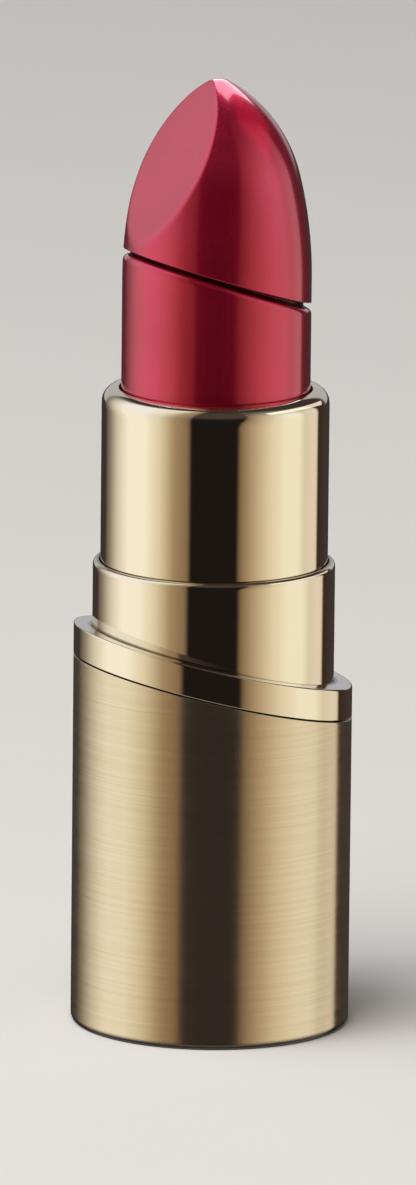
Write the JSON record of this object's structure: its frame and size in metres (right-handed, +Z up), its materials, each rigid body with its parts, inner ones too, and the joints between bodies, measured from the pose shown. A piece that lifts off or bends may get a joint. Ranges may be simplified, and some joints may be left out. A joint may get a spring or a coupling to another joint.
{
  "type": "lipstick",
  "caption": "Twist-up lipstick with a weighted brushed metal base, a slanted polished trim band, a polished swivel tube and a raised red bullet.",
  "frame": {"origin": "centre of the foot, on the surface that the lipstick stands on", "axes": "+Z up along the lipstick's axis, -Y towards the front, +X to the right; the trim band is high on the left"},
  "size_m": [0.0188, 0.0188, 0.0645],
  "materials": {
    "brushed_gold": "champagne gold, brushed round the axis",
    "polished_gold": "champagne gold, polished",
    "dark_plastic": "moulded, satin",
    "white_plastic": "moulded, satin",
    "weight_steel": "turned steel",
    "cup_metal": "drawn, satin",
    "drag_rubber": "silicone, matt",
    "lipstick": "satin wax, pinkish red"
  },
  "bodies": {
    "base": {"base_shell": "brushed_gold", "bottom_disc": "polished_gold", "base_liner": "dark_plastic", "weight": "weight_steel", "slant_band": "polished_gold", "collar": "polished_gold", "guide_tube": "white_plastic", "drag_ring": "drag_rubber"},
    "swivel": {"swivel_shell": "polished_gold", "spiral_sleeve": "white_plastic"},
    "carrier": {"elevator": "white_plastic", "cup": "cup_metal", "bullet": "lipstick"}
  },
  "joints": [
    {"name": "swivel_turn", "type": "hinge", "parent": "base", "child": "swivel", "pos_m": [0, 0, 0.0317], "axis": [0, 0, 1], "range_deg": [-630, 0]},
    {"name": "bullet_lift", "type": "slide", "parent": "base", "child": "carrier", "axis": [0, 0, 1], "range_m": [-0.0224, 0]}
  ],
  "couplings": [
    {"joint": "swivel_turn", "follows": "bullet_lift", "rad_per_m": 490.87}
  ]
}
